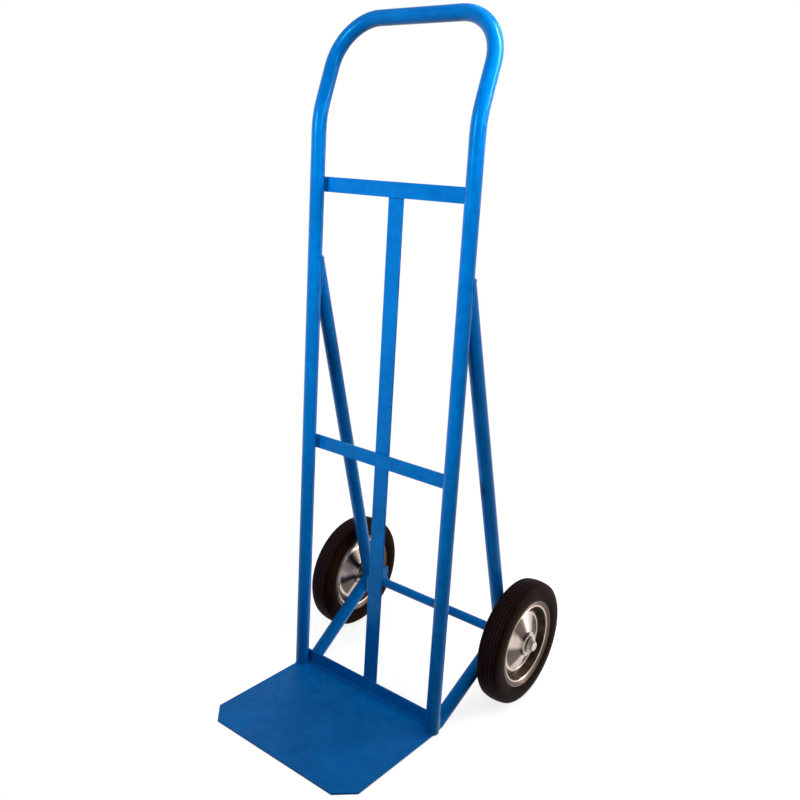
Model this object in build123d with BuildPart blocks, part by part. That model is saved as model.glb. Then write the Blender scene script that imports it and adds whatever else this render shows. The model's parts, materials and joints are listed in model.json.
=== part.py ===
from build123d import *
import os
from math import cos, radians, sin, sqrt

# Upright trolley: a welded tube frame with a toe plate, on two wheels with solid ribbed tyres.
# Millimetres. +X is to the right as seen from the load side, +Y runs back towards the wheels, +Z is up.
# The origin lies on the floor, in the middle of the trolley's outline.

# Gaps between pieces
weld_gap = 0.05
slip_gap = 0.05
press_gap = 0.02
seat_gap = 0.1

# Hoop: one tube bent into both uprights and the handle
tube_diameter = 26.9
tube_wall = 2.3
upright_spacing = 342.0
kick_height = 1106.0
kick_angle = 18.3
kick_length = 175.0
kick_radius = 165.0
corner_radius = 85.0

# Flat stock: toe plate, crossbars, strap and axle brackets share one thickness
flat_thickness = 4.0
crossbar_height = 27.0
upper_crossbar_z = 987.5
lower_crossbar_z = 494.0
strap_width = 32.0
strap_top_margin = 2.0

# Toe plate
toe_margin = 7.5
toe_reach = 250.0
toe_corner = 33.0
toe_bend_radius = 3.0
flange_height = 30.0
flange_corner = 5.0

# Braces
brace_meet_z = 871.0
brace_tip_cut = 15.0
brace_splay = 4.5
lower_foot_gap = 4.0
lower_foot_inset = 9.0
lower_tail = 24.0

# Axle, its brackets and what holds the wheels on it
axle_diameter = 19.0
axle_setback = 215.0
axle_chamfer = 1.5
axle_end_margin = 4.0
bracket_front = 30.0
bracket_rear = 46.0
bracket_bottom = 26.0
bracket_edge = 6.5
bracket_corner = 6.0
washer_radius = 16.0
washer_thickness = 2.5
pin_wire = 1.6
pin_leg_gap = 0.1
pin_hole_gap = 0.3
pin_eye = 7.0
pin_spread = 6.0

# Bearings: two in each wheel
ball_radius = 2.6
ball_count = 8
ball_gap = 0.08
race_wall = 1.2
race_opening = 1.5
cone_reach = 26.0
cone_length = 12.0
cup_length = 10.0
cage_thickness = 1.8
cage_length = 7.2

# Wheel
wheel_radius = 125.0
tyre_width = 48.0
shoulder_drop = 8.0
shoulder_taper = 2.0
shoulder_inset = 6.5
crown_drop = 2.4
groove_count = 5
groove_spacing = 6.6
groove_width = 2.0
groove_depth = 2.2
rim_sheet = 1.8
seat_radius = 76.0
seat_width = 32.0
flange_rise = 12.0
flange_flare = 2.0
lip_curl = 2.2
lip_cover = 0.8
web_width = 10.0
ring_rise = 6.0
ring_step = 4.0
ring_land = 4.0
cone_rise = 17.0
collar_rise = 22.5
hub_wall = 5.0
hub_length = 49.0
hub_chamfer = 0.8

# Worked out from the sizes above
tube_radius = tube_diameter / 2
tube_bore_radius = tube_radius - tube_wall
upright_x = upright_spacing / 2
upright_y = (toe_reach - axle_setback - wheel_radius) / 2
bar_front_y = upright_y + tube_radius
bar_back_y = bar_front_y + flat_thickness
toe_front_y = upright_y - toe_reach
toe_width = upright_spacing + 2 * toe_margin
handle_y = upright_y + kick_length * sin(radians(kick_angle))
handle_z = kick_height + kick_length * cos(radians(kick_angle))

axle_radius = axle_diameter / 2
axle_y = upright_y + axle_setback
axle_z = wheel_radius
brace_axle_x = upright_x + brace_splay
lower_foot_x = upright_x - lower_foot_inset
lower_foot_y = bar_back_y + lower_foot_gap
lower_slope = (brace_axle_x - lower_foot_x) / (axle_y - lower_foot_y)
cope_reach = 6 * tube_diameter

brace_outer_x = brace_axle_x + tube_radius + lower_slope * washer_radius
wheel_x = brace_outer_x + seat_gap + washer_thickness + cone_reach
pin_leg_offset = (pin_wire + pin_leg_gap) / 2
pin_hole_radius = pin_leg_offset + pin_wire / 2 + pin_hole_gap
pin_x = wheel_x + cone_reach + seat_gap + washer_thickness + pin_hole_radius
axle_half = pin_x + pin_hole_radius + axle_end_margin

cone_bore_radius = axle_radius + slip_gap
pitch_radius = cone_bore_radius + race_wall + ball_gap + ball_radius
cup_radius = pitch_radius + ball_radius + ball_gap + race_wall
groove_radius = ball_radius + ball_gap
hub_bore_radius = cup_radius + press_gap
hub_radius = hub_bore_radius + hub_wall
ball_offset = cone_reach - cone_length / 2 - (cone_length - cup_length) / 2

seat_half = seat_width / 2
sheet_half = rim_sheet / 2
seat_middle = seat_radius - seat_gap - sheet_half
rim_radius = seat_radius + flange_rise
ring_foot_radius = seat_middle - web_width
ring_radius = ring_foot_radius - ring_step
flange_foot = seat_half + seat_gap + sheet_half
flange_top = flange_foot + flange_flare
collar_radius = hub_radius + weld_gap + sheet_half

sides = {"left": -1, "right": 1}


def axle_point(side):
    """Where a side's two braces meet on the axle's centre line."""
    return Vector(side * brace_axle_x, axle_y, axle_z)


def upright_point(side):
    """Where a rear brace's centre line meets the upright's."""
    return Vector(side * upright_x, upright_y, brace_meet_z)


def lower_foot(side):
    """Where a lower brace's centre line meets the floor."""
    return Vector(side * lower_foot_x, lower_foot_y, 0)


def lower_brace_plane(side):
    """Plane across a lower brace at the axle, facing back along the brace."""
    return Plane(origin=axle_point(side), z_dir=axle_point(side) - lower_foot(side))


def axle_plane(side):
    """Plane across the axle where a side's braces meet on it."""
    return Plane(origin=axle_point(side), z_dir=(1, 0, 0))


def wheel_plane(side):
    """Section plane of a wheel: local X points outwards along the axle, local Y up."""
    return Plane(origin=(side * wheel_x, axle_y, axle_z), x_dir=(side, 0, 0), z_dir=(0, -side, 0))


def wheel_face(side, offset):
    """Plane across the axle, a distance outwards from the middle of a wheel, facing outwards."""
    return Plane(origin=(side * (wheel_x + offset), axle_y, axle_z), x_dir=(0, 1, 0), z_dir=(side, 0, 0))


wheel_axis = Axis((0, axle_y, axle_z), (1, 0, 0))


def make_frame_hoop():
    left_side = [
        (-upright_x, upright_y, flat_thickness),
        (-upright_x, upright_y, kick_height),
        (-upright_x, handle_y, handle_z),
    ]
    right_side = [(-x, y, z) for x, y, z in reversed(left_side)]
    with BuildPart() as hoop:
        with BuildLine() as centre_line:
            bends = [kick_radius, corner_radius, corner_radius, kick_radius]
            FilletPolyline(*left_side, *right_side, radius=bends)
        with BuildSketch(Plane(origin=left_side[0], z_dir=(0, 0, 1))) as section:
            Circle(tube_radius)
            Circle(tube_bore_radius, mode=Mode.SUBTRACT)
        sweep(sections=section.sketch, path=centre_line.line)
        # The back of each foot is relieved for the toe plate's bend
        relief = 2 * (toe_bend_radius + seat_gap)
        with Locations((-upright_x, bar_front_y, flat_thickness), (upright_x, bar_front_y, flat_thickness)):
            Box(tube_diameter, relief, relief, mode=Mode.SUBTRACT)
    return hoop.part


def make_crossbar(height):
    with BuildPart() as crossbar:
        with BuildSketch(Plane(origin=(0, bar_front_y, height), x_dir=(1, 0, 0), z_dir=(0, 1, 0))):
            Rectangle(upright_spacing, crossbar_height)
        extrude(amount=flat_thickness)
    return crossbar.part


def make_centre_strap():
    foot_z = toe_bend_radius + flat_thickness
    top_z = upper_crossbar_z + crossbar_height / 2 - strap_top_margin
    with BuildPart() as strap:
        with BuildSketch(Plane(origin=(0, bar_back_y, foot_z), z_dir=(0, 0, 1))):
            Rectangle(strap_width, flat_thickness, align=(Align.CENTER, Align.MIN))
        extrude(amount=top_z - foot_z)
    return strap.part


def make_toe_plate():
    with BuildPart() as plate:
        with BuildSketch(Plane.YZ) as profile:
            with BuildLine():
                Polyline(
                    (toe_front_y, 0),
                    (bar_back_y, 0),
                    (bar_back_y, flange_height),
                    (bar_front_y, flange_height),
                    (bar_front_y, flat_thickness),
                    (toe_front_y, flat_thickness),
                    close=True,
                )
            make_face()
            outer_bend = profile.vertices().group_by(Axis.Y)[0].sort_by(Axis.X)[-1]
            fillet(outer_bend, toe_bend_radius + flat_thickness)
            flange_front = profile.vertices().filter_by_position(Axis.X, bar_front_y, bar_front_y)
            fillet(flange_front.sort_by(Axis.Y)[0], toe_bend_radius)
        extrude(amount=toe_width / 2, both=True)
        front_corners = plate.edges().filter_by(Axis.Z).group_by(Axis.Y)[0]
        chamfer(front_corners, length=toe_corner)
        flange_ends = plate.edges().filter_by(Axis.Y).group_by(Axis.Z)[-1]
        fillet(flange_ends, flange_corner)
    return plate.part


def make_rear_brace(side):
    top = upright_point(side)
    run = axle_point(side) - top
    with BuildPart() as brace:
        with BuildSketch(Plane(origin=top, z_dir=run)):
            Circle(tube_radius)
            Circle(tube_bore_radius, mode=Mode.SUBTRACT)
        extrude(amount=run.length)
        # The ends are coped to the upright and to the top of the lower brace, then drilled for the axle
        with Locations(top):
            Cylinder(tube_radius + weld_gap, 2 * run.length, mode=Mode.SUBTRACT)
        with Locations(lower_brace_plane(side)):
            Cylinder(tube_radius + weld_gap, cope_reach, mode=Mode.SUBTRACT)
        with Locations(axle_plane(side)):
            Cylinder(axle_radius + weld_gap, cope_reach, mode=Mode.SUBTRACT)
        # The thin tip that would run up the back of the upright is cut off level
        split(bisect_by=Plane.XY.offset(brace_meet_z - brace_tip_cut), keep=Keep.BOTTOM)
    return brace.part


def make_lower_brace(side):
    run = axle_point(side) - lower_foot(side)
    along = run.normalized()
    with BuildPart() as brace:
        with BuildSketch(Plane(origin=lower_foot(side) - along * cope_reach, z_dir=along)):
            Circle(tube_radius)
            Circle(tube_bore_radius, mode=Mode.SUBTRACT)
        extrude(amount=cope_reach + run.length + lower_tail)
        # The foot is cut flush with the floor and with the back of the toe plate's flange
        split(bisect_by=Plane.XY, keep=Keep.TOP)
        split(bisect_by=Plane(origin=(0, bar_back_y, 0), z_dir=(0, 1, 0)), keep=Keep.TOP)
        with Locations(axle_plane(side)):
            Cylinder(axle_radius + weld_gap, cope_reach, mode=Mode.SUBTRACT)
    return brace.part


def make_axle_bracket(side):
    bracket_top = axle_radius + bracket_edge
    outer_x = brace_axle_x - tube_radius - seat_gap
    with BuildPart() as bracket:
        with BuildSketch(Plane(origin=(side * outer_x, axle_y, axle_z), x_dir=(0, 1, 0), z_dir=(1, 0, 0))):
            with Locations(((bracket_rear - bracket_front) / 2, (bracket_top - bracket_bottom) / 2)):
                RectangleRounded(bracket_front + bracket_rear, bracket_top + bracket_bottom, bracket_corner)
            Circle(axle_radius + weld_gap, mode=Mode.SUBTRACT)
        extrude(amount=-side * flat_thickness)
        # The outer face is dished to bed on the splayed lower brace
        with Locations(lower_brace_plane(side)):
            Cylinder(tube_radius + weld_gap, cope_reach, mode=Mode.SUBTRACT)
    return bracket.part


def make_axle():
    with BuildPart() as axle:
        with BuildSketch(Plane(origin=(-axle_half, axle_y, axle_z), z_dir=(1, 0, 0))):
            Circle(axle_radius)
        extrude(amount=2 * axle_half)
        chamfer(axle.edges().filter_by(GeomType.CIRCLE), length=axle_chamfer)
        with Locations((-pin_x, axle_y, axle_z), (pin_x, axle_y, axle_z)):
            Cylinder(pin_hole_radius, 2 * axle_diameter, mode=Mode.SUBTRACT)
    return axle.part


def make_washer(side, offset):
    with BuildPart() as washer:
        with BuildSketch(wheel_face(side, offset)):
            Circle(washer_radius)
            Circle(cone_bore_radius, mode=Mode.SUBTRACT)
        extrude(amount=washer_thickness)
    return washer.part


def make_split_pin(side):
    leg_end = axle_radius + pin_wire
    eye_half = pin_eye / 2
    right_half = [
        (eye_half / 2, leg_end + pin_eye),
        (eye_half, leg_end + eye_half),
        (pin_leg_offset, leg_end),
        (pin_leg_offset, -leg_end),
        (pin_leg_offset + pin_spread, -leg_end - pin_spread / 2),
    ]
    left_half = [(-y, z) for y, z in reversed(right_half)]
    route = [(side * pin_x, axle_y + y, axle_z + z) for y, z in left_half + right_half]
    with BuildPart() as pin:
        with BuildLine() as wire:
            FilletPolyline(*route, radius=pin_wire)
        with BuildSketch(Plane(origin=wire.line @ 0, z_dir=wire.line % 0)) as section:
            Circle(pin_wire / 2)
        sweep(sections=section.sketch, path=wire.line)
    return pin.part


def make_bearing_spacer(side):
    end = cone_reach - cone_length
    with BuildPart() as spacer:
        with BuildSketch(wheel_face(side, -end)):
            Circle(pitch_radius - race_opening)
            Circle(cone_bore_radius, mode=Mode.SUBTRACT)
        extrude(amount=2 * end)
    return spacer.part


def make_cone(side, face):
    middle = face * (cone_reach - cone_length / 2)
    land = pitch_radius - race_opening
    with BuildPart() as cone:
        with BuildSketch(wheel_plane(side)):
            with Locations((middle, cone_bore_radius)):
                Rectangle(cone_length, land - cone_bore_radius, align=(Align.CENTER, Align.MIN))
            with Locations((face * ball_offset, pitch_radius)):
                Circle(groove_radius, mode=Mode.SUBTRACT)
        revolve(axis=wheel_axis)
    return cone.part


def make_cup(side, face):
    land = pitch_radius + race_opening
    with BuildPart() as cup:
        with BuildSketch(wheel_plane(side)):
            with Locations((face * ball_offset, land)):
                Rectangle(cup_length, cup_radius - land, align=(Align.CENTER, Align.MIN))
            with Locations((face * ball_offset, pitch_radius)):
                Circle(groove_radius, mode=Mode.SUBTRACT)
        revolve(axis=wheel_axis)
    return cup.part


def make_balls(side, face):
    with BuildPart() as balls:
        with Locations(wheel_face(side, face * ball_offset)):
            with PolarLocations(pitch_radius, ball_count):
                Sphere(ball_radius)
    return balls.part


def make_cage(side, face):
    with BuildPart() as cage:
        with BuildSketch(wheel_plane(side)):
            with Locations((face * ball_offset, pitch_radius)):
                Rectangle(cage_length, cage_thickness)
        revolve(axis=wheel_axis)
        with Locations(wheel_face(side, face * ball_offset)):
            with PolarLocations(pitch_radius, ball_count):
                Cylinder(ball_radius + seat_gap, 2 * cage_thickness, rotation=(0, 90, 0), mode=Mode.SUBTRACT)
    return cage.part


def make_hub_sleeve(side):
    with BuildPart() as sleeve:
        with BuildSketch(wheel_face(side, -hub_length / 2)):
            Circle(hub_radius)
            Circle(hub_bore_radius, mode=Mode.SUBTRACT)
        extrude(amount=hub_length)
        chamfer(sleeve.edges().filter_by(GeomType.CIRCLE), length=hub_chamfer)
    return sleeve.part


def make_rim_half(side, face):
    """Pressed disc: rolled lip, flange, tyre seat, flat web, raised ring, cone and hub collar."""
    section = [
        (flange_top + lip_curl, rim_radius - sheet_half),
        (flange_top, rim_radius - sheet_half),
        (flange_foot, seat_middle),
        (sheet_half, seat_middle),
        (sheet_half, ring_foot_radius),
        (ring_rise, ring_radius),
        (ring_rise, ring_radius - ring_land),
        (cone_rise, collar_radius),
        (collar_rise, collar_radius),
    ]
    bend = rim_sheet
    with BuildPart() as rim:
        with BuildSketch(wheel_plane(side)):
            with BuildLine():
                FilletPolyline(*[(face * x, y) for x, y in section], radius=bend)
            trace(line_width=rim_sheet)
        revolve(axis=wheel_axis)
    return rim.part


def crown_radius_at(offset):
    """Radius of the tread's crown at a distance from the middle of the tyre."""
    half_span = tyre_width / 2 - shoulder_inset
    arc = (half_span**2 + crown_drop**2) / (2 * crown_drop)
    return wheel_radius - arc + sqrt(arc**2 - offset**2)


def make_tyre(side):
    tyre_half = tyre_width / 2
    bead_inner = (seat_half - rim_sheet, seat_radius)
    bead_outer = (seat_half, seat_radius + rim_sheet)
    bead_top = (flange_top - sheet_half - seat_gap, rim_radius + lip_cover)
    sidewall_foot = (flange_top + lip_curl, rim_radius + 2 * lip_cover)
    shoulder = (tyre_half - shoulder_taper, wheel_radius - shoulder_drop)
    # The sidewall arc is widest where both its ends fall away from it by the right depth
    foot_depth = sqrt(tyre_half - sidewall_foot[0])
    bulge_share = foot_depth / (foot_depth + sqrt(shoulder_taper))
    bulge = (tyre_half, sidewall_foot[1] + bulge_share * (shoulder[1] - sidewall_foot[1]))
    crown_half = tyre_half - shoulder_inset
    crown_edge = (crown_half, crown_radius_at(crown_half))
    crown_middle = (crown_half / 2, crown_radius_at(crown_half / 2))
    with BuildPart() as tyre:
        with BuildSketch(wheel_plane(side)):
            with BuildLine():
                Polyline((0, seat_radius), bead_inner, bead_outer, bead_top, sidewall_foot)
                sidewall = ThreePointArc(sidewall_foot, bulge, shoulder)
                TangentArc(shoulder, crown_edge, tangent=sidewall % 1)
                ThreePointArc(crown_edge, crown_middle, (0, wheel_radius))
                mirror(about=Plane.YZ)
            make_face()
            for index in range(groove_count):
                offset = groove_spacing * (index - (groove_count - 1) / 2)
                with Locations((offset, crown_radius_at(offset))):
                    Rectangle(groove_width, 2 * groove_depth, mode=Mode.SUBTRACT)
        revolve(axis=wheel_axis)
    return tyre.part


pieces = {
    "frame_hoop": make_frame_hoop(),
    "upper_crossbar": make_crossbar(upper_crossbar_z),
    "lower_crossbar": make_crossbar(lower_crossbar_z),
    "centre_strap": make_centre_strap(),
    "toe_plate": make_toe_plate(),
    "axle": make_axle(),
}
for name, side in sides.items():
    pieces[f"{name}_rear_brace"] = make_rear_brace(side)
    pieces[f"{name}_lower_brace"] = make_lower_brace(side)
    pieces[f"{name}_axle_bracket"] = make_axle_bracket(side)
    pieces[f"{name}_inner_washer"] = make_washer(side, -cone_reach - washer_thickness)
    pieces[f"{name}_outer_washer"] = make_washer(side, cone_reach + seat_gap)
    pieces[f"{name}_split_pin"] = make_split_pin(side)
    pieces[f"{name}_bearing_spacer"] = make_bearing_spacer(side)
    pieces[f"{name}_hub_sleeve"] = make_hub_sleeve(side)
    pieces[f"{name}_tyre"] = make_tyre(side)
    for end, face in {"inner": -1, "outer": 1}.items():
        pieces[f"{name}_{end}_rim_half"] = make_rim_half(side, face)
        pieces[f"{name}_{end}_bearing_cup"] = make_cup(side, face)
        pieces[f"{name}_{end}_bearing_cone"] = make_cone(side, face)
        pieces[f"{name}_{end}_bearing_balls"] = make_balls(side, face)
        pieces[f"{name}_{end}_ball_cage"] = make_cage(side, face)

os.makedirs("parts", exist_ok=True)
for label, piece in pieces.items():
    piece.label = label
    export_step(piece, f"parts/{label}.step")
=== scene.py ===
import json
from math import cos, pi, sin, sqrt

import bmesh
import bpy
from mathutils import Matrix, Vector, noise


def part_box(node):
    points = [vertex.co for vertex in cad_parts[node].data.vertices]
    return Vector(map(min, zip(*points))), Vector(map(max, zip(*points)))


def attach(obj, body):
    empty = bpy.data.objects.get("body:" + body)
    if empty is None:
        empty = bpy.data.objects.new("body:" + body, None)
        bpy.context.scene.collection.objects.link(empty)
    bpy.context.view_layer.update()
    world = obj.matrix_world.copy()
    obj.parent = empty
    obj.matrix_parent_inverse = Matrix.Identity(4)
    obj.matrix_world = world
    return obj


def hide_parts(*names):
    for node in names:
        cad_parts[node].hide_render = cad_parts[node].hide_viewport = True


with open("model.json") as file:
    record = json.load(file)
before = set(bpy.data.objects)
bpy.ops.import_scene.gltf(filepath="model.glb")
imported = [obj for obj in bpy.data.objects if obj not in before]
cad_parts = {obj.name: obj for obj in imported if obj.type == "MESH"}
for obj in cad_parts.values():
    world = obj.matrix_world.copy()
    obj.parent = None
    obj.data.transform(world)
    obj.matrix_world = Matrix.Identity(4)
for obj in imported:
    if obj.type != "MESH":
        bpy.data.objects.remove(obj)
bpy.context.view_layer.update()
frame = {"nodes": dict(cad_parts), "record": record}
nodes = frame["nodes"]

# Places and sizes in metres, read from the frame
hoop_low, hoop_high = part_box("frame_hoop")
bar_low, bar_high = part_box("upper_crossbar")
lower_bar_low, lower_bar_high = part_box("lower_crossbar")
strap_low, strap_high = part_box("centre_strap")
plate_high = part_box("toe_plate")[1]
axle_low, axle_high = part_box("axle")
tyre_low, tyre_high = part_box("right_tyre")

UPRIGHT_X = bar_high.x
TUBE_RADIUS = hoop_high.x - UPRIGHT_X
UPRIGHT_Y = hoop_low.y + TUBE_RADIUS
PLATE_TOP = hoop_low.z
FLAT = bar_high.y - bar_low.y
AXLE_Y = (axle_low.y + axle_high.y) / 2
AXLE_Z = (axle_low.z + axle_high.z) / 2
AXLE_RADIUS = (axle_high.z - axle_low.z) / 2
TYRE_RADIUS = tyre_high.z - AXLE_Z
TYRE_X = (tyre_low.x + tyre_high.x) / 2
RIM_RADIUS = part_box("right_outer_rim_half")[1].z - AXLE_Z
BRACE_OUTER_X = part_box("right_lower_brace")[1].x
BRACE_TOP_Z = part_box("right_rear_brace")[1].z

# Where the braces' centre lines run, in metres: on the axle, on the upright and on the floor
BRACE_X = UPRIGHT_X + 0.0045
BRACE_MEET_Z = 0.871
LOWER_FOOT_X = UPRIGHT_X - 0.009
LOWER_FOOT_Y = strap_low.y + 0.004

# Rounded edges of the flat pieces: radius in metres, angles in radians
FLAT_PIECES = {
    "toe_plate": 0.0007,
    "upper_crossbar": 0.0006,
    "lower_crossbar": 0.0006,
    "centre_strap": 0.0006,
    "left_axle_bracket": 0.0005,
    "right_axle_bracket": 0.0005,
}
MERGE = 0.00001
FLAT_ANGLE = 0.01
SHARP_ANGLE = 0.7

# Weld beads: radius, length of a ripple, and distance off the pieces that they join, in metres
WIDE_BEAD = 0.0024
BEAD = 0.0022
STRAP_BEAD = 0.002
STRAP_TOP_BEAD = 0.0018
RIPPLE = 0.0028
RIPPLE_STEPS = 4
BEAD_SIDES = 10
BEAD_WAVES = 400
SEAM_STEPS = 96
ARC_STEPS = 24
AXLE_WELD_STEPS = 32
STANDOFF = 0.0008
FINE_STANDOFF = 0.0006
FLANGE_STANDOFF = 0.0012
THROAT = 0.002
END_INSET = 0.001
STRAP_FOOT_LIFT = 0.0004
AXLE_CLEARANCE = 0.002
FLOOR_CLEARANCE = 0.003

# Turns round the upright that its welds cover, in radians from the right
FOOT_ARC = (-1.15 * pi, 0.15 * pi)
FLANGE_ARC = (0.28 * pi, 0.72 * pi)

# Weld metal over the top of a rear brace: sizes in metres, angle in radians
CAP_RISE = 0.004
CAP_SINK = 0.003
CAP_OVERLAP = 0.0008
CAP_CROWN = 0.0007
CAP_STEPS = 52
CAP_SLOPE_STEPS = 4
CAP_ANGLE = 2.8
CAP_WAVES = 9
CAP_SHIFT = 40
BRACE_LEDGE = (
    (BRACE_MEET_Z - BRACE_TOP_Z) * (AXLE_Y - UPRIGHT_Y) / (BRACE_MEET_Z - AXLE_Z) + FINE_STANDOFF
)

# Blue enamel
BLUE = (0.0, 0.107, 0.38, 1)
BLUE_LIGHT = (0.0, 0.148, 0.49, 1)
BLUE_DUSTY = (0.004, 0.13, 0.42, 1)
BLUE_GLINT = (0.0, 0.5, 1.0, 1)
WORN_STEEL = (0.09, 0.10, 0.12, 1)
ENAMEL_IOR = 1.38
DUST_ROUGHNESS = 0.25
SCUFF_ROUGHNESS = 0.3
SCUFF_HEIGHT = 0.02
PEEL_DEPTH = 0.00006
WAVE_DEPTH = 0.0005
PAINT_END = 0.0015
PAINT_RAGGED = 0.004

# Rubber, with lengths in metres: ribs on a crowned tread, and fine rings left by the mould
RUBBER = (0.006, 0.0016, 0.0004, 1)
RUBBER_DUST = (0.016, 0.006, 0.0025, 1)
RUBBER_GLINT = (1.0, 0.45, 0.25, 1)
RIB_SHEEN_AND_DUST = (0.019, 0.0105, 0.0125, 1)
RUBBER_IOR = 1.1
TREAD_START = 0.009
TREAD_FULL = 0.004
SHOULDER_INSET = 0.0065
CROWN_HALF = (tyre_high.x - tyre_low.x) / 2 - SHOULDER_INSET
CROWN_DROP = 0.0024
RIB_START = 0.0014
RIB_FULL = 0.0006
MOULD_RING_PITCH = 0.0045
MOULD_RING_DEPTH = 0.00012
RUBBER_GRAIN = 0.0001

# Rim: fans of painted reflection round its disc, painted shade in its channel, and zones as shares of its
# radius
DISC_BRIGHT = (0.78, 0.66, 0.58, 1)
DISC_SHADE_AND_STAIN = (0.13, 0.10, 0.085, 1)
FLANGE_DULL = (0.17, 0.125, 0.10, 1)
RIM_CHANNEL_SHADE = (0.034, 0.018, 0.009, 1)
FAN_COUNT = 4.0
FAN_WOBBLE = 3.0
RING_ZONE = (0.62, 0.67)
CHANNEL_INNER = (0.735, 0.755)
CHANNEL_OUTER = (0.855, 0.875)
FLANGE_ZONE = (0.885, 0.9)
SPIN_LINES = 130.0
SPIN_DEPTH = 0.00005
DULL_ROUGHNESS = 0.2

# Plain metals
ZINC = (0.56, 0.48, 0.43, 1)
ZINC_DULL = (0.34, 0.28, 0.24, 1)
STEEL = (0.56, 0.55, 0.54, 1)
STEEL_ROUGHNESS = 0.3
SCRATCHES = (900, 90, 900)
SCRATCH_DEPTH = 0.00004

# Floor and studio; a ramp is given as its low and high end and the strength at each
WHITE = (1, 1, 1, 1)
FLOOR_SIZE = 30
FLOOR_PAINT = (0.16, 0.16, 0.16, 1)
FLOOR_WASH = (0.38, 0.38, 0.38, 1)
FLOOR_GLOW = 0.8
FLOOR_FADE = (0.5, 1.4)
WALL_RAMP = (0.25, 0.7, 1.0, 0.22)
OVERHEAD_RAMP = (0.7, 0.9, 0.07, 1.0)
BEHIND_RAMP = (0.1, 1.0, 0.0, 0.45)

# Lamps in an arc that light the handle's right bend: lengths in metres, angles in radians
GLINT_PLACE = Vector((0.18, -0.01, 1.2))
GLINT_DISTANCE = 1.6
GLINT_TURN = 0.45
GLINT_LIFTS = (0.16, 0.36, 0.56, 0.76, 0.96, 1.16)
GLINT_SIZE = 0.2
GLINT_SPREAD = 0.19
GLINT_POWER = 0.07
GLINT_POWER_RISE = 0.05

# Camera fitted to the photograph: place in metres, angles in radians, lens in pixels
IMAGE_SIZE = 800
CAMERA_PLACE = Vector((0.9645, -1.2281, 1.0319))
CAMERA_YAW = 0.6611
CAMERA_PITCH = 0.2625
CAMERA_ROLL = 0.0587
CAMERA_FOCAL = 870.5
CAMERA_CENTRE = (398.1, 397.5)
SENSOR_WIDTH = 36.0


# Shader helpers


def start_material(name):
    """An empty node material, with its tree."""
    material = bpy.data.materials.new(name)
    material.use_nodes = True
    material.node_tree.nodes.clear()
    return material, material.node_tree


def feed(tree, socket, value):
    """A value for a socket, or a link from another socket."""
    if isinstance(value, bpy.types.NodeSocket):
        tree.links.new(value, socket)
    else:
        socket.default_value = value


def node(tree, kind, inputs=None, **settings):
    """A node with its settings and inputs: an input is a value, or a socket to link from."""
    made = tree.nodes.new(kind)
    for name, value in settings.items():
        setattr(made, name, value)
    for name, value in (inputs or {}).items():
        feed(tree, made.inputs[name], value)
    return made


def noise_at(tree, place, waves, detail=3.0, roughness=0.5):
    """Noise from 0 to 1 at a number of waves per metre."""
    inputs = {"Vector": place, "Scale": waves, "Detail": detail, "Roughness": roughness}
    return node(tree, "ShaderNodeTexNoise", inputs).outputs["Fac"]


def ramp(tree, value, low, high, to_low=0.0, to_high=1.0):
    """Value taken from the range low to high to the range to_low to to_high, and held there."""
    inputs = {"Value": value, "From Min": low, "From Max": high, "To Min": to_low, "To Max": to_high}
    return node(tree, "ShaderNodeMapRange", inputs, interpolation_type="SMOOTHSTEP").outputs["Result"]


def math(tree, operation, first, second=0.0):
    made = node(tree, "ShaderNodeMath", {0: first, 1: second}, operation=operation)
    return made.outputs[0]


def mix_colour(tree, factor, first, second):
    made = node(tree, "ShaderNodeMix", data_type="RGBA")
    for index, value in ((0, factor), (6, first), (7, second)):
        feed(tree, made.inputs[index], value)
    return made.outputs[2]


def mix_value(tree, factor, first, second):
    made = node(tree, "ShaderNodeMix", data_type="FLOAT")
    for index, value in ((0, factor), (2, first), (3, second)):
        feed(tree, made.inputs[index], value)
    return made.outputs[0]


def bump(tree, height, distance, strength, under=None):
    inputs = {"Height": height, "Distance": distance, "Strength": strength}
    if under is not None:
        inputs["Normal"] = under
    return node(tree, "ShaderNodeBump", inputs).outputs["Normal"]


def finish_material(tree, **inputs):
    """Principled surface to the material's output; underscores in the names stand for spaces."""
    named = {name.replace("_", " "): value for name, value in inputs.items()}
    surface = node(tree, "ShaderNodeBsdfPrincipled", named)
    node(tree, "ShaderNodeOutputMaterial", {"Surface": surface.outputs[0]})


def object_place(tree):
    return node(tree, "ShaderNodeTexCoord").outputs["Object"]


def split(tree, vector):
    """The parts of a vector along each axis."""
    return node(tree, "ShaderNodeSeparateXYZ", {0: vector}).outputs


def wheel_place(tree):
    """Distance from the axle's centre line, turn round it, and distance from the trolley's middle plane."""
    place = split(tree, object_place(tree))
    back = math(tree, "SUBTRACT", place["Y"], AXLE_Y)
    up = math(tree, "SUBTRACT", place["Z"], AXLE_Z)
    squares = math(tree, "ADD", math(tree, "MULTIPLY", back, back), math(tree, "MULTIPLY", up, up))
    turn = math(tree, "ARCTAN2", up, back)
    return math(tree, "SQRT", squares), turn, math(tree, "ABSOLUTE", place["X"])


# Materials


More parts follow.
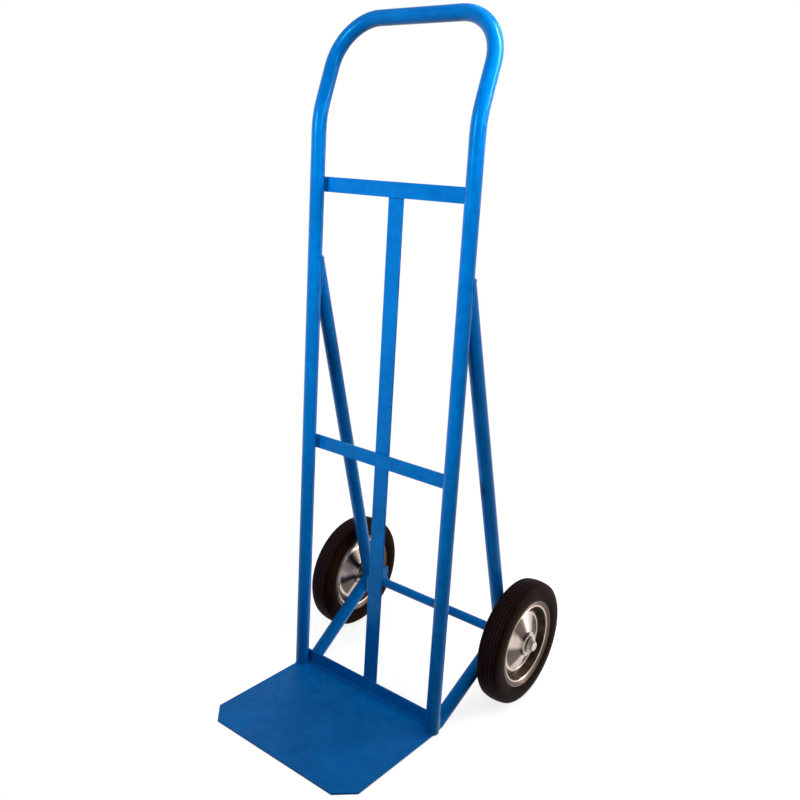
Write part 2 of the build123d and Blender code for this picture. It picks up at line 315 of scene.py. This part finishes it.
def paint_layers(tree):
    """Colour, roughness and normal of the blue enamel, with dust, worn edges and a scuffed plate."""
    place = object_place(tree)
    clouds = ramp(tree, noise_at(tree, place, waves=11, detail=4), 0.35, 0.68)
    mottle = ramp(tree, noise_at(tree, place, waves=75), 0.35, 0.7)
    colour = mix_colour(tree, mix_value(tree, 0.5, clouds, mottle), BLUE, BLUE_LIGHT)

    facing = split(tree, node(tree, "ShaderNodeNewGeometry").outputs["Normal"])
    upward = ramp(tree, facing["Z"], 0.6, 0.95)
    settled = ramp(tree, noise_at(tree, place, waves=45, detail=5, roughness=0.65), 0.42, 0.8, 0, 0.5)
    dust = math(tree, "MULTIPLY", upward, settled)
    colour = mix_colour(tree, dust, colour, BLUE_DUSTY)

    edge = node(tree, "ShaderNodeAttribute", attribute_name="edge").outputs["Fac"]
    chips = ramp(tree, noise_at(tree, place, waves=260, detail=4, roughness=0.7), 0.6, 0.66)
    colour = mix_colour(tree, math(tree, "MULTIPLY", edge, chips), colour, WORN_STEEL)

    gloss = ramp(tree, noise_at(tree, place, waves=30, detail=4), 0.3, 0.7, 0.14, 0.26)
    roughness = math(tree, "ADD", gloss, math(tree, "MULTIPLY", dust, DUST_ROUGHNESS))
    height = split(tree, place)["Z"]
    low_down = ramp(tree, height, PLATE_TOP, PLATE_TOP + SCUFF_HEIGHT, SCUFF_ROUGHNESS, 0)
    roughness = math(tree, "ADD", roughness, math(tree, "MULTIPLY", upward, low_down))

    peel = bump(tree, noise_at(tree, place, waves=520, detail=2), PEEL_DEPTH, 0.7)
    normal = bump(tree, noise_at(tree, place, waves=70, detail=2), WAVE_DEPTH, 0.5, peel)
    return colour, roughness, normal


def enamel():
    material, tree = start_material("blue_enamel")
    colour, roughness, normal = paint_layers(tree)
    finish_material(
        tree,
        Base_Color=colour,
        Roughness=roughness,
        Normal=normal,
        IOR=ENAMEL_IOR,
        Specular_Tint=BLUE_GLINT,
    )
    return material


def painted_axle():
    """Enamel between the braces, bare drawn steel outside them."""
    material, tree = start_material("painted_axle")
    colour, roughness, normal = paint_layers(tree)
    along = wheel_place(tree)[2]
    ragged = noise_at(tree, object_place(tree), waves=300)
    limit = math(tree, "ADD", along, math(tree, "MULTIPLY", ragged, PAINT_RAGGED))
    bare = ramp(tree, limit, BRACE_OUTER_X, BRACE_OUTER_X + PAINT_END)
    finish_material(
        tree,
        Base_Color=mix_colour(tree, bare, colour, STEEL),
        Metallic=bare,
        Roughness=mix_value(tree, bare, roughness, STEEL_ROUGHNESS),
        Normal=normal,
        IOR=ENAMEL_IOR,
        Specular_Tint=mix_colour(tree, bare, BLUE_GLINT, WHITE),
    )
    return material


def rubber():
    """Dark rubber with bloom on its walls, scuffs on its tread, and dust with a painted sheen on the tops of
    the ribs.
    """
    material, tree = start_material("black_rubber")
    place = object_place(tree)
    radius, _, along = wheel_place(tree)
    tread = ramp(tree, radius, TYRE_RADIUS - TREAD_START, TYRE_RADIUS - TREAD_FULL)
    scuffs = ramp(tree, noise_at(tree, place, waves=120, detail=5, roughness=0.7), 0.45, 0.75)
    bloom = ramp(tree, noise_at(tree, place, waves=22, detail=4), 0.4, 0.75, 0, 0.6)
    dust = math(tree, "MAXIMUM", math(tree, "MULTIPLY", tread, scuffs), bloom)
    colour = mix_colour(tree, dust, RUBBER, RUBBER_DUST)

    # Rib tops lighter all round the tread: dust, and a painted sheen where light would catch them
    aside = math(tree, "DIVIDE", math(tree, "SUBTRACT", along, TYRE_X), CROWN_HALF)
    aside = math(tree, "MULTIPLY", aside, aside)
    crown = math(tree, "ADD", radius, math(tree, "MULTIPLY", aside, CROWN_DROP))
    tops = ramp(tree, crown, TYRE_RADIUS - RIB_START, TYRE_RADIUS - RIB_FULL)
    ribs = math(tree, "MULTIPLY", tops, ramp(tree, aside, 0.75, 1.1, 1, 0))
    colour = mix_colour(tree, ribs, colour, RIB_SHEEN_AND_DUST)

    rings = math(tree, "SINE", math(tree, "MULTIPLY", radius, 2 * pi / MOULD_RING_PITCH))
    grain = bump(tree, noise_at(tree, place, waves=1100, detail=2), RUBBER_GRAIN, 0.6)
    finish_material(
        tree,
        Base_Color=colour,
        Roughness=ramp(tree, dust, 0, 1, 0.5, 0.72),
        Normal=bump(tree, rings, MOULD_RING_DEPTH, 0.5, grain),
        IOR=RUBBER_IOR,
        Specular_Tint=RUBBER_GLINT,
    )
    return material


def rim_metal():
    """Bright zinc on a spun disc, with painted reflections in fans, painted shade in its channel and a dull
    flange.
    """
    material, tree = start_material("rim_zinc")
    place = object_place(tree)
    distance, turn, _ = wheel_place(tree)
    radius = math(tree, "DIVIDE", distance, RIM_RADIUS)
    # Painted reflection: bright and dark fans round the disc, fixed to the wheel; random stains are mixed
    # into the dark
    wobble = math(tree, "MULTIPLY", noise_at(tree, place, waves=18), FAN_WOBBLE)
    fans = math(tree, "COSINE", math(tree, "ADD", math(tree, "MULTIPLY", turn, FAN_COUNT), wobble))
    painted_fans = math(tree, "MULTIPLY", ramp(tree, fans, -0.3, 0.9, 1, 0), ramp(tree, radius, *RING_ZONE, 1, 0))
    stain = ramp(tree, noise_at(tree, place, waves=70, detail=5, roughness=0.6), 0.4, 0.75, 0, 0.25)
    colour = mix_colour(tree, math(tree, "MAXIMUM", painted_fans, stain), DISC_BRIGHT, DISC_SHADE_AND_STAIN)
    flange = ramp(tree, radius, *FLANGE_ZONE)
    colour = mix_colour(tree, flange, colour, FLANGE_DULL)

    # Painted shade: the channel between the disc and the flange is darkened, in patches
    inside = ramp(tree, radius, *CHANNEL_INNER)
    outside = ramp(tree, radius, *CHANNEL_OUTER, 1, 0)
    patchy = ramp(tree, noise_at(tree, place, waves=45, detail=5, roughness=0.65), 0.25, 0.7, 0.88, 1.0)
    channel_shade = math(tree, "MULTIPLY", math(tree, "MULTIPLY", inside, outside), patchy)
    colour = mix_colour(tree, channel_shade, colour, RIM_CHANNEL_SHADE)

    spun = node(tree, "ShaderNodeCombineXYZ", {"X": math(tree, "MULTIPLY", radius, SPIN_LINES)}).outputs[0]
    lines = noise_at(tree, spun, waves=1, detail=2)
    dull = math(tree, "MULTIPLY", math(tree, "MAXIMUM", channel_shade, flange), DULL_ROUGHNESS)
    finish_material(
        tree,
        Base_Color=colour,
        Metallic=1.0,
        Roughness=math(tree, "ADD", ramp(tree, lines, 0.3, 0.7, 0.32, 0.42), dull),
        Normal=bump(tree, lines, SPIN_DEPTH, 0.4),
        Anisotropic=0.9,
        Anisotropic_Rotation=0.25,
        Tangent=node(tree, "ShaderNodeTangent", direction_type="RADIAL", axis="X").outputs[0],
    )
    return material


def plain_metal(name, colour, dull, low, high):
    """Plated or turned steel with faint stains and a roughness that varies from low to high."""
    material, tree = start_material(name)
    place = object_place(tree)
    stain = ramp(tree, noise_at(tree, place, waves=160, detail=5, roughness=0.65), 0.4, 0.75)
    stretched = node(tree, "ShaderNodeMapping", {"Vector": place, "Scale": SCRATCHES}).outputs[0]
    scratches = noise_at(tree, stretched, waves=1)
    finish_material(
        tree,
        Base_Color=mix_colour(tree, stain, colour, dull),
        Metallic=1.0,
        Roughness=ramp(tree, scratches, 0.3, 0.7, low, high),
        Normal=bump(tree, scratches, SCRATCH_DEPTH, 0.4),
    )
    return material


slot_materials = {
    "blue_paint": enamel(),
    "axle_steel": painted_axle(),
    "zinc_hardware": plain_metal("hardware_zinc", ZINC, ZINC_DULL, low=0.24, high=0.38),
    "hub_steel": plain_metal("turned_hub", STEEL, ZINC_DULL, low=0.2, high=0.34),
    "rim_steel": rim_metal(),
    "bearing_steel": plain_metal("bearing_steel", STEEL, ZINC, low=0.12, high=0.22),
    "black_rubber": rubber(),
}
slots = {subpart["node"]: subpart["material_slot"] for subpart in frame["record"]["subparts"]}
for name, slot in slots.items():
    nodes[name].data.materials.clear()
    nodes[name].data.materials.append(slot_materials[slot])


# Pieces that are drawn here


def add_piece(name, mesh, slot, body):
    """An object for a mesh, with its slot's material, moving with a body."""
    piece = bpy.data.objects.new(name, mesh)
    bpy.context.collection.objects.link(piece)
    mesh.materials.append(slot_materials[slot])
    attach(piece, body)
    return piece


def to_smooth_mesh(name, body):
    """A mesh of a finished body, shaded smooth."""
    for face in body.faces:
        face.smooth = True
    mesh = bpy.data.meshes.new(name)
    body.to_mesh(mesh)
    body.free()
    return mesh


def soften(name, width):
    """A copy of a flat CAD piece with its sharp outer edges rounded and marked for wear."""
    source = nodes[name].data
    body = bmesh.new()
    corners = [body.verts.new(vertex.co) for vertex in source.vertices]
    body.verts.ensure_lookup_table()
    for polygon in source.polygons:
        body.faces.new([corners[index] for index in polygon.vertices])
    bmesh.ops.remove_doubles(body, verts=body.verts, dist=MERGE)
    bmesh.ops.dissolve_limit(body, angle_limit=FLAT_ANGLE, verts=body.verts, edges=body.edges)
    sharp = [edge for edge in body.edges if edge.is_convex and edge.calc_face_angle(0) > SHARP_ANGLE]
    edge_layer = body.faces.layers.float.new("edge")
    rounded = bmesh.ops.bevel(body, geom=sharp, offset=width, segments=2, profile=0.5, affect="EDGES")
    for face in rounded["faces"]:
        face[edge_layer] = 1.0
    mesh = to_smooth_mesh(name + "_edges", body)
    mesh.set_sharp_from_angle(angle=SHARP_ANGLE)
    piece = add_piece(name + "_dressed", mesh, slots[name], "frame")
    piece.modifiers.new("flat faces", "WEIGHTED_NORMAL").keep_sharp = True
    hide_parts(name)


for name, width in FLAT_PIECES.items():
    soften(name, width)


# Weld beads


def evenly(points, step):
    """Points along the same line, about a step apart."""
    spaced = []
    for start, end in zip(points, points[1:]):
        count = max(1, round((end - start).length / step))
        spaced += [start.lerp(end, index / count) for index in range(count)]
    return spaced + [points[-1]]


def swell(index, place, least, rise, uneven):
    """Share of its size that a bead has at a step along it: even ripples, and noise at a place."""
    return least + rise * abs(sin(pi * index / RIPPLE_STEPS)) + uneven * noise.noise(place)


def bead(name, points, radius, closed=False):
    """A rippled weld bead along a line of points, with rounded ends unless it is closed."""
    line = evenly(points + points[:1] if closed else points, RIPPLE / RIPPLE_STEPS)
    if closed:
        line = line[:-1]
    count = len(line)
    turns = [2 * pi * step / BEAD_SIDES for step in range(BEAD_SIDES)]
    body = bmesh.new()
    rings = []
    across = None
    for index, centre in enumerate(line):
        ahead = line[(index + 1) % count] if closed else line[min(index + 1, count - 1)]
        behind = line[index - 1] if closed else line[max(index - 1, 0)]
        along = (ahead - behind).normalized()
        across = along.orthogonal() if across is None else across - along * across.dot(along)
        across.normalize()
        other = along.cross(across)
        share = swell(index, centre * BEAD_WAVES, least=0.9, rise=0.16, uneven=0.12)
        if not closed:
            share *= min(1.0, 0.45 + 0.2 * min(index, count - 1 - index))
        outward = [cos(turn) * across + sin(turn) * other for turn in turns]
        rings.append([body.verts.new(centre + radius * share * direction) for direction in outward])
    pairs = list(zip(rings, rings[1:]))
    if closed:
        pairs.append((rings[-1], rings[0]))
    else:
        body.faces.new(rings[0][::-1])
        body.faces.new(rings[-1])
    for first, second in pairs:
        # A closed line's last ring meets the first where their corners lie nearest
        shift = min(range(BEAD_SIDES), key=lambda step: (second[step].co - first[0].co).length)
        second = second[shift:] + second[:shift]
        for step in range(BEAD_SIDES):
            after = (step + 1) % BEAD_SIDES
            body.faces.new([first[step], first[after], second[after], second[step]])
    bmesh.ops.recalc_face_normals(body, faces=body.faces)
    add_piece(name, to_smooth_mesh(name, body), "blue_paint", "frame")


def cap_weld(name, ledge, width):
    """Weld metal sloping from the back of an upright down over the cut top of its brace."""
    inner = TUBE_RADIUS - CAP_OVERLAP
    body = bmesh.new()
    rings = []
    for index in range(CAP_STEPS + 1):
        turn = (index / CAP_STEPS - 0.5) * CAP_ANGLE
        outward = Vector((sin(turn), cos(turn), 0))
        share = swell(index, outward * CAP_WAVES + ledge * CAP_SHIFT, least=0.94, rise=0.14, uneven=0.1)
        reach = inner + CAP_OVERLAP + (width * cos(turn) + CAP_OVERLAP) * share
        height = CAP_RISE * cos(turn) * share
        profile = [(inner, -CAP_SINK), (inner, height)]
        for step in range(1, CAP_SLOPE_STEPS + 1):
            down = step / CAP_SLOPE_STEPS
            bulge = CAP_CROWN * sin(pi * down)
            out = inner + (reach - inner) * down + bulge
            profile.append((out, height * (1 - down) - CAP_SINK * down + bulge))
        rings.append([body.verts.new(ledge + outward * out + Vector((0, 0, lift))) for out, lift in profile])
    body.faces.new(rings[0][::-1])
    body.faces.new(rings[-1])
    for first, second in zip(rings, rings[1:]):
        for step in range(len(first)):
            after = (step + 1) % len(first)
            body.faces.new([first[step], first[after], second[after], second[step]])
    bmesh.ops.recalc_face_normals(body, faces=body.faces)
    mesh = to_smooth_mesh(name, body)
    mesh.set_sharp_from_angle(angle=SHARP_ANGLE)
    add_piece(name, mesh, "blue_paint", "frame")


def arc(centre, radius, start, end):
    """Points round a vertical axis, from a start to an end angle."""
    angles = [start + (end - start) * index / ARC_STEPS for index in range(ARC_STEPS + 1)]
    return [centre + radius * Vector((cos(angle), sin(angle), 0)) for angle in angles]


def tube_ring(origin, along):
    """Points round the outside of a tube through origin."""
    side = along.orthogonal().normalized()
    other = along.cross(side)
    turns = [2 * pi * index / SEAM_STEPS for index in range(SEAM_STEPS)]
    return [origin + TUBE_RADIUS * (cos(turn) * side + sin(turn) * other) for turn in turns]


def saddle(origin, along, axis_point, axis_along):
    """The line where a tube from origin meets another tube of the same radius, seen from outside."""
    slope = along - axis_along * along.dot(axis_along)
    points = []
    for start in tube_ring(origin, along):
        offset = start - axis_point
        offset -= axis_along * offset.dot(axis_along)
        a = slope.dot(slope)
        b = offset.dot(slope)
        c = offset.dot(offset) - TUBE_RADIUS**2
        points.append(start + along * ((-b + sqrt(max(b * b - a * c, 0))) / a))
    return points


def runs_that(points, keep):
    """The stretches of a closed line of points that pass a test, from the shortest to the longest."""
    count = len(points)
    starts = [index for index in range(count) if keep(points[index]) and not keep(points[index - 1])]
    runs = []
    for start in starts:
        run = []
        while keep(points[(start + len(run)) % count]) and len(run) < count:
            run.append(points[(start + len(run)) % count])
        runs.append(run)
    return sorted(runs, key=len)


def clear_of_axle(point):
    return sqrt((point.y - AXLE_Y) ** 2 + (point.z - AXLE_Z) ** 2) > AXLE_RADIUS + AXLE_CLEARANCE


def weld_upright(name, side):
    """The upright's foot on the plate, and its back on the plate's flange."""
    upright = Vector((side * UPRIGHT_X, UPRIGHT_Y, 0))
    around = arc(upright + Vector((0, 0, PLATE_TOP)), TUBE_RADIUS + STANDOFF, *FOOT_ARC)
    bead(name + "_foot_weld", [point for point in around if abs(point.x) < plate_high.x], WIDE_BEAD)
    top = upright + Vector((0, 0, plate_high.z))
    bead(name + "_flange_weld", arc(top, TUBE_RADIUS + FLANGE_STANDOFF, *FLANGE_ARC), BEAD)


def weld_bars(name, side):
    """Crossbars in the corner inside the tube and along their ends behind it, and the strap behind them."""
    bars = (("upper", bar_low, bar_high), ("lower", lower_bar_low, lower_bar_high))
    reach = sqrt((TUBE_RADIUS + THROAT) ** 2 - (TUBE_RADIUS - THROAT) ** 2)
    for bar, low, high in bars:
        for place, x, y in (
            ("inner", UPRIGHT_X - reach, low.y - THROAT),
            ("end", UPRIGHT_X + STANDOFF, low.y + FLAT / 2),
        ):
            ends = [Vector((side * x, y, z)) for z in (low.z + END_INSET, high.z - END_INSET)]
            bead(f"{name}_{bar}_crossbar_{place}_weld", ends, WIDE_BEAD)
    strap_edge = side * (strap_high.x + FINE_STANDOFF)
    for bar, low, high in bars:
        heights = (low.z, min(high.z, strap_high.z))
        ends = [Vector((strap_edge, strap_low.y + STANDOFF, z)) for z in heights]
        bead(f"{name}_{bar}_strap_weld", ends, STRAP_BEAD)


def weld_braces(name, side):
    """The rear brace on the upright, both braces on each other, and the lower one on the plate's flange."""
    upright = Vector((side * UPRIGHT_X, UPRIGHT_Y, 0))
    axle_point = Vector((side * BRACE_X, AXLE_Y, AXLE_Z))
    brace_top = Vector((side * UPRIGHT_X, UPRIGHT_Y, BRACE_MEET_Z))
    down = (axle_point - brace_top).normalized()
    seam = saddle(brace_top, down, brace_top, Vector((0, 0, 1)))
    bead(name + "_brace_seam_weld", runs_that(seam, lambda point: point.z < BRACE_TOP_Z)[-1], BEAD)
    cap_weld(name + "_brace_top_weld", upright + Vector((0, 0, BRACE_TOP_Z)), BRACE_LEDGE)

    lower_foot = Vector((side * LOWER_FOOT_X, LOWER_FOOT_Y, 0))
    back = (axle_point - lower_foot).normalized()
    joint = saddle(axle_point, -down, axle_point, back)
    for place, run in zip(("front", "rear"), runs_that(joint, clear_of_axle)[-2:]):
        bead(f"{name}_brace_{place}_weld", run, BEAD)

    ring = [start + back * ((strap_low.y - start.y) / back.y) for start in tube_ring(lower_foot, back)]
    above_floor = runs_that(ring, lambda point: point.z > FLOOR_CLEARANCE)[-1]
    off = Vector((0, FINE_STANDOFF, FINE_STANDOFF))
    bead(name + "_lower_foot_weld", [point + off for point in above_floor], BEAD)


def weld_axle(name, side):
    """The axle on the bracket's inner face."""
    bracket_low, bracket_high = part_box(name + "_axle_bracket")
    face_x = bracket_low.x if side > 0 else bracket_high.x
    turns = [2 * pi * index / AXLE_WELD_STEPS for index in range(AXLE_WELD_STEPS)]
    rim = AXLE_RADIUS + STANDOFF
    around = [Vector((face_x, AXLE_Y + rim * cos(turn), AXLE_Z + rim * sin(turn))) for turn in turns]
    bead(name + "_axle_weld", around, BEAD, closed=True)


for name, side in (("left", -1), ("right", 1)):
    weld_upright(name, side)
    weld_bars(name, side)
    weld_braces(name, side)
    weld_axle(name, side)
strap_top = [Vector((x, strap_low.y + END_INSET, strap_high.z)) for x in (strap_low.x, strap_high.x)]
bead("strap_top_weld", strap_top, STRAP_TOP_BEAD)
foot_z = plate_high.z + STRAP_FOOT_LIFT
strap_foot = [Vector((x, strap_low.y - STANDOFF, foot_z)) for x in (strap_low.x, strap_high.x)]
bead("strap_foot_weld", strap_foot, WIDE_BEAD)


# Stage


def seen_directly(tree):
    """1 for rays from the camera, and for what metal and glass show."""
    path = node(tree, "ShaderNodeLightPath")
    metal = math(tree, "MAXIMUM", path.outputs["Is Camera Ray"], path.outputs["Is Glossy Ray"])
    return math(tree, "MAXIMUM", metal, path.outputs["Is Transmission Ray"])


def add_floor():
    """A white floor that keeps the trolley's shadow close to it and fades to plain white further off."""
    material, tree = start_material("floor")
    paint = node(tree, "ShaderNodeBsdfDiffuse", {"Color": FLOOR_PAINT})
    wash = node(tree, "ShaderNodeBsdfDiffuse", {"Color": FLOOR_WASH})
    glow = node(tree, "ShaderNodeEmission", {"Color": WHITE, "Strength": FLOOR_GLOW})
    white = node(tree, "ShaderNodeEmission", {"Color": WHITE, "Strength": 1.0})
    near = node(tree, "ShaderNodeAddShader", {0: wash.outputs[0], 1: glow.outputs[0]})
    distance = node(tree, "ShaderNodeVectorMath", {0: object_place(tree)}, operation="LENGTH")
    far = ramp(tree, distance.outputs["Value"], *FLOOR_FADE)
    shown = node(tree, "ShaderNodeMixShader", {0: far, 1: near.outputs[0], 2: white.outputs[0]})
    choice = {0: seen_directly(tree), 1: paint.outputs[0], 2: shown.outputs[0]}
    surface = node(tree, "ShaderNodeMixShader", choice)
    node(tree, "ShaderNodeOutputMaterial", {"Surface": surface.outputs[0]})
    bpy.ops.mesh.primitive_plane_add(size=FLOOR_SIZE, location=(0, 0, 0))
    floor = bpy.context.object
    floor.name = "floor"
    floor.data.materials.append(material)


def add_world():
    """A white wall to look at, and soft light from overhead and from the back left."""
    world = bpy.data.worlds.new("studio")
    bpy.context.scene.world = world
    world.use_nodes = True
    tree = world.node_tree
    tree.nodes.clear()
    direction = split(tree, node(tree, "ShaderNodeTexCoord").outputs["Generated"])
    wall = ramp(tree, direction["Z"], *WALL_RAMP)
    overhead = ramp(tree, direction["Z"], *OVERHEAD_RAMP)
    behind = ramp(tree, math(tree, "SUBTRACT", direction["Y"], direction["X"]), *BEHIND_RAMP)
    strength = mix_value(tree, seen_directly(tree), math(tree, "MAXIMUM", overhead, behind), wall)
    back = node(tree, "ShaderNodeBackground", {"Color": WHITE, "Strength": strength})
    node(tree, "ShaderNodeOutputWorld", {"Surface": back.outputs[0]})


def add_lamp(name, place, target, size, power, spread=pi):
    """A round area lamp, not seen itself."""
    lamp = bpy.data.lights.new(name, "AREA")
    lamp.shape = "DISK"
    lamp.size = size
    lamp.energy = power
    lamp.spread = spread
    holder = bpy.data.objects.new(name, lamp)
    holder.visible_camera = False
    bpy.context.collection.objects.link(holder)
    holder.location = place
    holder.rotation_euler = (Vector(target) - Vector(place)).to_track_quat("-Z", "Y").to_euler()


def add_glints():
    for index, lift in enumerate(GLINT_LIFTS):
        towards = Vector((cos(lift) * cos(GLINT_TURN), cos(lift) * sin(GLINT_TURN), sin(lift)))
        place = GLINT_PLACE + GLINT_DISTANCE * towards
        power = GLINT_POWER + GLINT_POWER_RISE * lift
        add_lamp(f"glint_{index}", place, GLINT_PLACE, GLINT_SIZE, power, GLINT_SPREAD)


def add_camera():
    forward = Vector((
        -sin(CAMERA_YAW) * cos(CAMERA_PITCH),
        cos(CAMERA_YAW) * cos(CAMERA_PITCH),
        -sin(CAMERA_PITCH),
    ))
    level = Vector((cos(CAMERA_YAW), sin(CAMERA_YAW), 0))
    upright = level.cross(forward)
    right = cos(CAMERA_ROLL) * level + sin(CAMERA_ROLL) * upright
    up = cos(CAMERA_ROLL) * upright - sin(CAMERA_ROLL) * level
    turn = Matrix((right, up, -forward)).transposed()
    lens = bpy.data.cameras.new("camera")
    lens.sensor_width = SENSOR_WIDTH
    lens.lens = CAMERA_FOCAL / IMAGE_SIZE * SENSOR_WIDTH
    lens.shift_x = (IMAGE_SIZE / 2 - CAMERA_CENTRE[0]) / IMAGE_SIZE
    lens.shift_y = (CAMERA_CENTRE[1] - IMAGE_SIZE / 2) / IMAGE_SIZE
    camera = bpy.data.objects.new("camera", lens)
    bpy.context.collection.objects.link(camera)
    camera.matrix_world = Matrix.Translation(CAMERA_PLACE) @ turn.to_4x4()
    bpy.context.scene.camera = camera


add_floor()
add_world()
add_lamp("left", (-0.35, -2.05, 1.45), (0, 0, 0.92), size=1.0, power=4.7, spread=0.7)
add_lamp("right", (2.05, -0.36, 1.45), (0, 0, 0.92), size=0.6, power=1.4, spread=0.7)
add_glints()
add_lamp("back", (1.3, 1.0, 2.3), (0.05, 0.05, 0.5), size=1.6, power=11.0)
add_lamp("rear", (1.2, 1.35, 0.38), (0.1, 0.17, 0.13), size=0.35, power=0.6, spread=0.6)
add_lamp("side", (1.7, 0.5, 0.9), (0.22, 0.17, 0.1), size=0.35, power=0.06, spread=0.5)
add_camera()

bpy.context.scene.view_settings.view_transform = "Standard"
